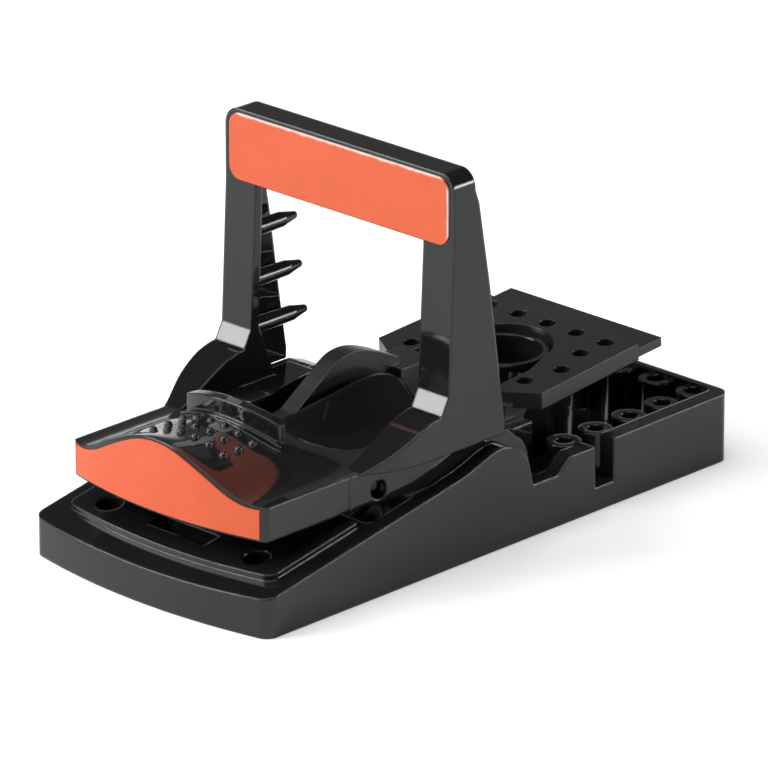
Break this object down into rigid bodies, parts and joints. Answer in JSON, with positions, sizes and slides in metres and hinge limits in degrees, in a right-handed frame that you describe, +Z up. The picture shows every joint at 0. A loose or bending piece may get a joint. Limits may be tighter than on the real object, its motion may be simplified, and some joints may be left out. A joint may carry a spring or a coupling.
{
  "type": "snap mouse trap",
  "caption": "Snap trap for mice: a moulded base, a sprung striker with a press pad and toothed arms, and a perforated trip pedal over a bait cup.",
  "frame": {"origin": "centre of the base's footprint, on the surface the trap stands on", "axes": "+X across the trap, +Y from the press pad towards the trip pedal, +Z up"},
  "size_m": [0.0468, 0.0988, 0.0583],
  "materials": {
    "base_plastic": "moulded black, glossy outside, satin in the tray",
    "striker_plastic": "moulded black, polished",
    "pedal_plastic": "moulded black, satin",
    "label": "printed orange film, semi-gloss",
    "steel": "drawn spring steel"
  },
  "bodies": {
    "base_body": {"base": "base_plastic", "striker_axle": "steel", "trip_pin": "steel", "spring_left": "steel", "spring_right": "steel"},
    "striker_body": {"striker": "striker_plastic", "bar_label": "label", "pad_label": "label"},
    "pedal_body": {"trip_pedal": "pedal_plastic"},
    "cup_body": {"bait_cup": "pedal_plastic"}
  },
  "joints": [
    {"name": "striker_swing", "type": "hinge", "parent": "base_body", "child": "striker_body", "pos_m": [0, 0.0036, 0.01], "axis": [-1, 0, 0], "range_deg": [-2, 88], "deforming": ["spring_left", "spring_right"]},
    {"name": "pedal_tip", "type": "hinge", "parent": "base_body", "child": "pedal_body", "pos_m": [0, 0.0135, 0.011], "axis": [-1, 0, 0], "range_deg": [0, 12]},
    {"name": "cup_lift", "type": "slide", "parent": "base_body", "child": "cup_body", "axis": [0, 0, -1], "range_m": [0, 0.02]}
  ]
}
